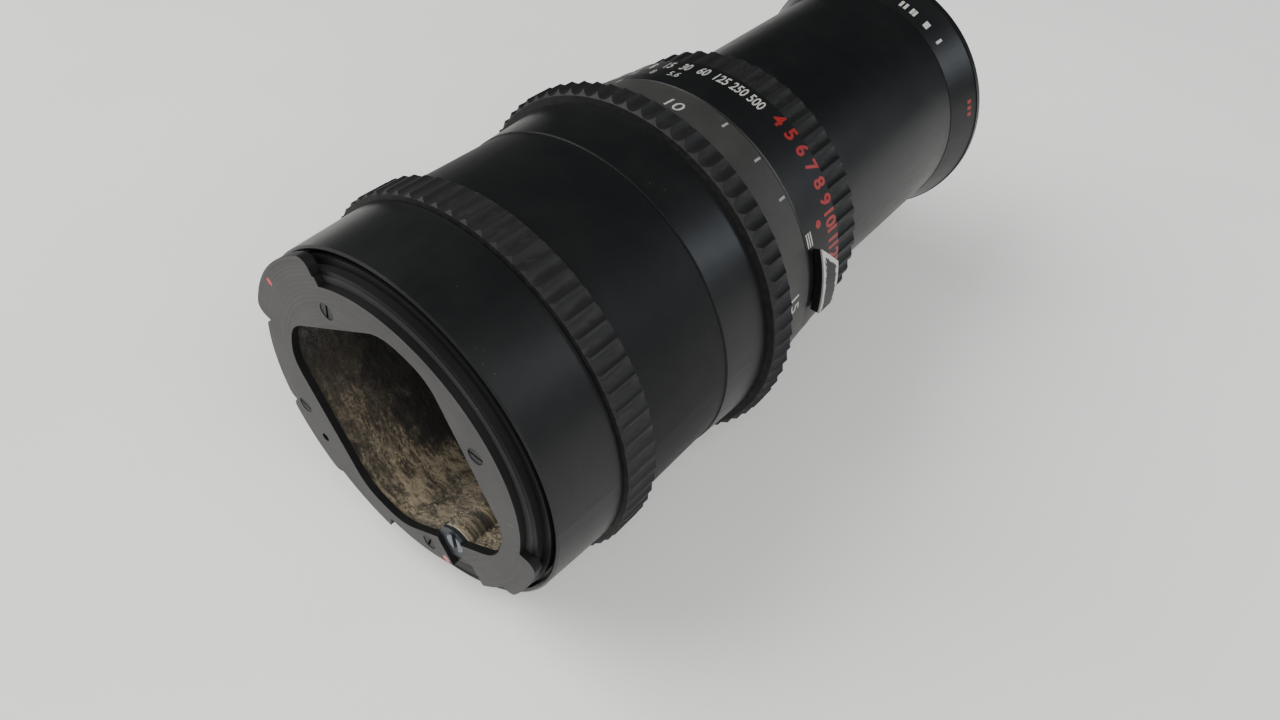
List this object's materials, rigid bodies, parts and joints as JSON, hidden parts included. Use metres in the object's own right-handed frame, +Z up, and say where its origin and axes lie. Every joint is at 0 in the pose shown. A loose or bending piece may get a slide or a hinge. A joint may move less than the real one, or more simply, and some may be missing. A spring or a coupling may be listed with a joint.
{
  "type": "telephoto camera lens",
  "caption": "Black telephoto leaf-shutter lens with rear bayonet, cocking shaft, knurled focusing barrel, aperture and speed rings and a slim flared front tube.",
  "frame": {"origin": "centre of the rear seat plane (the rear barrel's rear edge) on the optical axis", "axes": "+Y along the optical axis from the camera to the front, +X right, +Z up as the lens lies on its side"},
  "size_m": [0.0766, 0.1603, 0.0766],
  "materials": {
    "satin_black": "satin black enamel on aluminium",
    "grip_black": "matte black anodised knurl",
    "collar_black": "satin charcoal anodised",
    "mount_grey": "satin grey, worn",
    "screw_steel": "darkened steel",
    "index_red": "red enamel",
    "flock": "aged flocked light baffle",
    "inner_metal": "dark anodised",
    "nut_brass": "machined",
    "housing_blue": "dark blue-grey",
    "steel": "machined",
    "blade_steel": "blackened spring steel",
    "optical_glass": "coated"
  },
  "bodies": {
    "mount_barrel": {"rear_barrel": "satin_black", "bayonet_plate": "mount_grey", "mount_screws": "screw_steel", "index_mark": "index_red", "rear_baffle": "flock", "guide_keys": "nut_brass", "thrust_ring": "inner_metal", "cocking_housing": "housing_blue"},
    "cocking_shaft": {"cocking_shaft": "steel"},
    "focus_barrel": {"focus_rear_grip": "grip_black", "focus_barrel_rear": "satin_black", "focus_barrel_front": "satin_black", "focus_grip": "grip_black", "distance_collar": "collar_black", "helicoid_nut": "nut_brass"},
    "front_unit": {"inner_barrel": "inner_metal", "shutter_case": "inner_metal", "front_barrel": "satin_black", "speed_retainer": "satin_black", "front_flare": "satin_black", "front_rim": "satin_black", "name_ring": "satin_black", "front_cell": "inner_metal", "front_element": "optical_glass", "pair_cell": "inner_metal", "pair_front_element": "optical_glass", "pair_rear_element": "optical_glass", "pair_retainer": "inner_metal", "rear_cell": "inner_metal", "rear_element": "optical_glass", "rear_retainer": "inner_metal", "shutter_base_plate": "inner_metal", "iris_plate": "inner_metal", "escapement_plate": "inner_metal", "retard_gears": "nut_brass", "main_spring": "steel", "sync_socket": "mount_grey"},
    "transfer_rod": {"transfer_rod": "steel", "transfer_pinion": "steel"},
    "aperture_ring": {"aperture_ring": "satin_black", "iris_ring": "inner_metal", "aperture_link": "steel"},
    "ev_tab": {"ev_tab": "satin_black"},
    "speed_ring": {"speed_scale_ring": "satin_black", "speed_grip": "grip_black", "speed_cam_ring": "inner_metal", "speed_link": "steel"},
    "sync_selector": {"sync_selector": "satin_black"},
    "shutter_ring": {"shutter_ring": "inner_metal"},
    "shutter_blade_1": {"shutter_blade_1": "blade_steel"},
    "iris_blade_1": {"iris_blade_1": "blade_steel"},
    "shutter_blade_2": {"shutter_blade_2": "blade_steel"},
    "iris_blade_2": {"iris_blade_2": "blade_steel"},
    "shutter_blade_3": {"shutter_blade_3": "blade_steel"},
    "iris_blade_3": {"iris_blade_3": "blade_steel"},
    "shutter_blade_4": {"shutter_blade_4": "blade_steel"},
    "iris_blade_4": {"iris_blade_4": "blade_steel"},
    "shutter_blade_5": {"shutter_blade_5": "blade_steel"},
    "iris_blade_5": {"iris_blade_5": "blade_steel"}
  },
  "joints": [
    {"name": "focus_turn", "type": "hinge", "parent": "mount_barrel", "child": "focus_barrel", "pos_m": [0, 0.03, 0], "axis": [0, 1, 0], "range_deg": [0, 270]},
    {"name": "front_unit_slide", "type": "slide", "parent": "mount_barrel", "child": "front_unit", "axis": [0, 1, 0], "range_m": [0, 0.032]},
    {"name": "cocking_turn", "type": "hinge", "parent": "mount_barrel", "child": "cocking_shaft", "pos_m": [0.01115, 0, -0.01931], "axis": [0, 1, 0], "range_deg": [0, 345]},
    {"name": "transfer_rod_turn", "type": "hinge", "parent": "front_unit", "child": "transfer_rod", "pos_m": [0.01115, 0.07, -0.01931], "axis": [0, 1, 0], "range_deg": [0, 345]},
    {"name": "aperture_turn", "type": "hinge", "parent": "front_unit", "child": "aperture_ring", "pos_m": [0, 0.077, 0], "axis": [0, 1, 0], "range_deg": [0, 54]},
    {"name": "ev_tab_press", "type": "slide", "parent": "aperture_ring", "child": "ev_tab", "axis": [0, -1, 0], "range_m": [0, 0.0012], "stiffness_N_per_m": 600},
    {"name": "speed_turn", "type": "hinge", "parent": "front_unit", "child": "speed_ring", "pos_m": [0, 0.088, 0], "axis": [0, 1, 0], "range_deg": [0, 99]},
    {"name": "sync_select", "type": "hinge", "parent": "front_unit", "child": "sync_selector", "pos_m": [0, 0.097, 0], "axis": [0, 1, 0], "range_deg": [0, 20]},
    {"name": "shutter_ring_turn", "type": "hinge", "parent": "front_unit", "child": "shutter_ring", "pos_m": [0, 0.0766, 0], "axis": [0, 1, 0], "range_deg": [0, 30]},
    {"name": "shutter_blade_1_swing", "type": "hinge", "parent": "front_unit", "child": "shutter_blade_1", "pos_m": [0.0232, 0.0752, 0], "axis": [0, -1, 0], "range_deg": [0, 52]},
    {"name": "iris_blade_1_swing", "type": "hinge", "parent": "front_unit", "child": "iris_blade_1", "pos_m": [0.0232, 0.0801, 0], "axis": [0, -1, 0], "range_deg": [0, 42]},
    {"name": "shutter_blade_2_swing", "type": "hinge", "parent": "front_unit", "child": "shutter_blade_2", "pos_m": [0.00717, 0.0752, 0.02207], "axis": [0, -1, 0], "range_deg": [0, 52]},
    {"name": "iris_blade_2_swing", "type": "hinge", "parent": "front_unit", "child": "iris_blade_2", "pos_m": [0.00717, 0.0801, 0.02207], "axis": [0, -1, 0], "range_deg": [0, 42]},
    {"name": "shutter_blade_3_swing", "type": "hinge", "parent": "front_unit", "child": "shutter_blade_3", "pos_m": [-0.01877, 0.0752, 0.01364], "axis": [0, -1, 0], "range_deg": [0, 52]},
    {"name": "iris_blade_3_swing", "type": "hinge", "parent": "front_unit", "child": "iris_blade_3", "pos_m": [-0.01877, 0.0801, 0.01364], "axis": [0, -1, 0], "range_deg": [0, 42]},
    {"name": "shutter_blade_4_swing", "type": "hinge", "parent": "front_unit", "child": "shutter_blade_4", "pos_m": [-0.01877, 0.0752, -0.01364], "axis": [0, -1, 0], "range_deg": [0, 52]},
    {"name": "iris_blade_4_swing", "type": "hinge", "parent": "front_unit", "child": "iris_blade_4", "pos_m": [-0.01877, 0.0801, -0.01364], "axis": [0, -1, 0], "range_deg": [0, 42]},
    {"name": "shutter_blade_5_swing", "type": "hinge", "parent": "front_unit", "child": "shutter_blade_5", "pos_m": [0.00717, 0.0752, -0.02207], "axis": [0, -1, 0], "range_deg": [0, 52]},
    {"name": "iris_blade_5_swing", "type": "hinge", "parent": "front_unit", "child": "iris_blade_5", "pos_m": [0.00717, 0.0801, -0.02207], "axis": [0, -1, 0], "range_deg": [0, 42]}
  ],
  "couplings": [
    {"joint": "front_unit_slide", "follows": "focus_turn", "m_per_rad": 0.0067905},
    {"joint": "transfer_rod_turn", "follows": "shutter_ring_turn", "ratio": 11.5},
    {"joint": "cocking_turn", "follows": "shutter_ring_turn", "ratio": 11.5},
    {"joint": "shutter_blade_1_swing", "follows": "shutter_ring_turn", "ratio": 1.7333},
    {"joint": "iris_blade_1_swing", "follows": "aperture_turn", "ratio": 0.77777},
    {"joint": "shutter_blade_2_swing", "follows": "shutter_ring_turn", "ratio": 1.7333},
    {"joint": "iris_blade_2_swing", "follows": "aperture_turn", "ratio": 0.77777},
    {"joint": "shutter_blade_3_swing", "follows": "shutter_ring_turn", "ratio": 1.7333},
    {"joint": "iris_blade_3_swing", "follows": "aperture_turn", "ratio": 0.77777},
    {"joint": "shutter_blade_4_swing", "follows": "shutter_ring_turn", "ratio": 1.7333},
    {"joint": "iris_blade_4_swing", "follows": "aperture_turn", "ratio": 0.77777},
    {"joint": "shutter_blade_5_swing", "follows": "shutter_ring_turn", "ratio": 1.7333},
    {"joint": "iris_blade_5_swing", "follows": "aperture_turn", "ratio": 0.77777}
  ]
}
